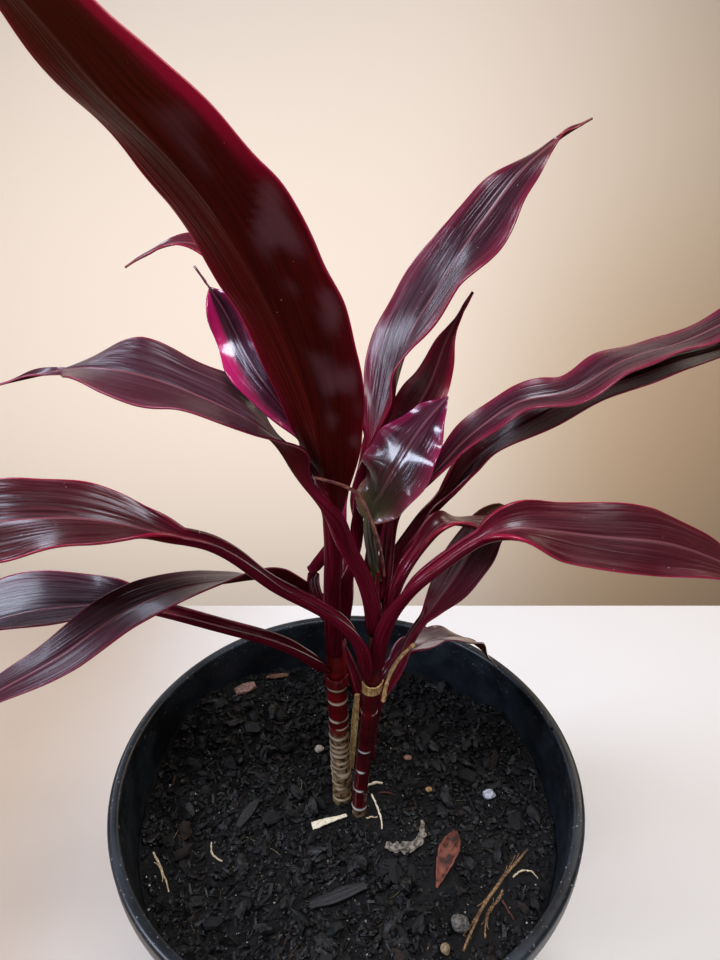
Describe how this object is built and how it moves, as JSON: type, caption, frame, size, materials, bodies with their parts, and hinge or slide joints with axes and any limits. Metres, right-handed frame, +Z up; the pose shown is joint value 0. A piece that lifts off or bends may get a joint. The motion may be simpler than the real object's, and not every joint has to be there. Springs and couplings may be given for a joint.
{
  "type": "potted ti plant",
  "caption": "Ti plant with long arching maroon to purple leaves on ringed canes, standing in a round black nursery pot filled with dark potting mix.",
  "frame": {"origin": "centre of the pot's underside, where it stands", "axes": "+Z up; the plant's front faces -Y, +X to its right"},
  "size_m": [0.4421, 0.2565, 0.5711],
  "materials": {
    "pot": "matte blue-black moulded plastic with a little dust",
    "potting_mix": "damp black bark-based potting mix",
    "cane_ringed": "tan-brown stem, closely ringed by leaf scars",
    "cane_red": "dark red young stem with pale rings",
    "leaf_purple": "leathery dark purple blade with a bluish sheen",
    "leaf_maroon": "leathery maroon blade with crimson margins",
    "leaf_pink": "glossy young blade, pink to magenta",
    "sheath_red": "fleshy dark red leaf base",
    "dry_sheath": "dry papery sheath, tan",
    "torn_strand": "thin torn leaf fibre",
    "root": "cream to tan root",
    "straw": "dry straw",
    "stone": "weathered grit and pebble",
    "bark": "bark chips, dark brown to pinkish",
    "dead_leaf": "curled dead leaf, reddish brown",
    "scrap": "grey papery scrap of leaf"
  },
  "bodies": {
    "root": {"bark_front": "bark", "bark_left": "bark", "bit_back": "stone", "bit_side": "stone", "bit_tan": "stone", "bit_white": "stone", "cane_left": "cane_ringed", "cane_right": "cane_red", "chip_back": "bark", "chip_pink": "bark", "leaf_back_left": "leaf_maroon", "leaf_dead": "dead_leaf", "leaf_drooping": "leaf_purple", "leaf_far_right": "leaf_maroon", "leaf_folded": "leaf_maroon", "leaf_foreground": "leaf_maroon", "leaf_hanging": "leaf_purple", "leaf_inner_pink": "leaf_pink", "leaf_low_left": "leaf_purple", "leaf_mid_left": "leaf_maroon", "leaf_right_lower": "leaf_maroon", "leaf_right_upper": "leaf_purple", "leaf_rim": "leaf_pink", "leaf_shiny": "leaf_pink", "leaf_small_back": "leaf_maroon", "leaf_tall_right": "leaf_purple", "leaf_upper_left": "leaf_purple", "leaf_young_pink": "leaf_pink", "pebble_pale": "stone", "pot": "pot", "potting_mix": "potting_mix", "root_bent": "root", "root_cut": "root", "root_short": "root", "root_thin": "root", "scrap_papery": "scrap", "sheath_dry": "dry_sheath", "sheath_left": "sheath_red", "stalk_dry": "dry_sheath", "stone_grey": "stone", "strand_torn": "torn_strand", "straw_arch": "straw", "straw_curved": "straw", "straw_left": "straw", "straw_main": "straw", "straw_side": "straw", "strip_dry": "dry_sheath", "twig_back": "straw", "twig_dark": "straw"}
  },
  "joints": []
}
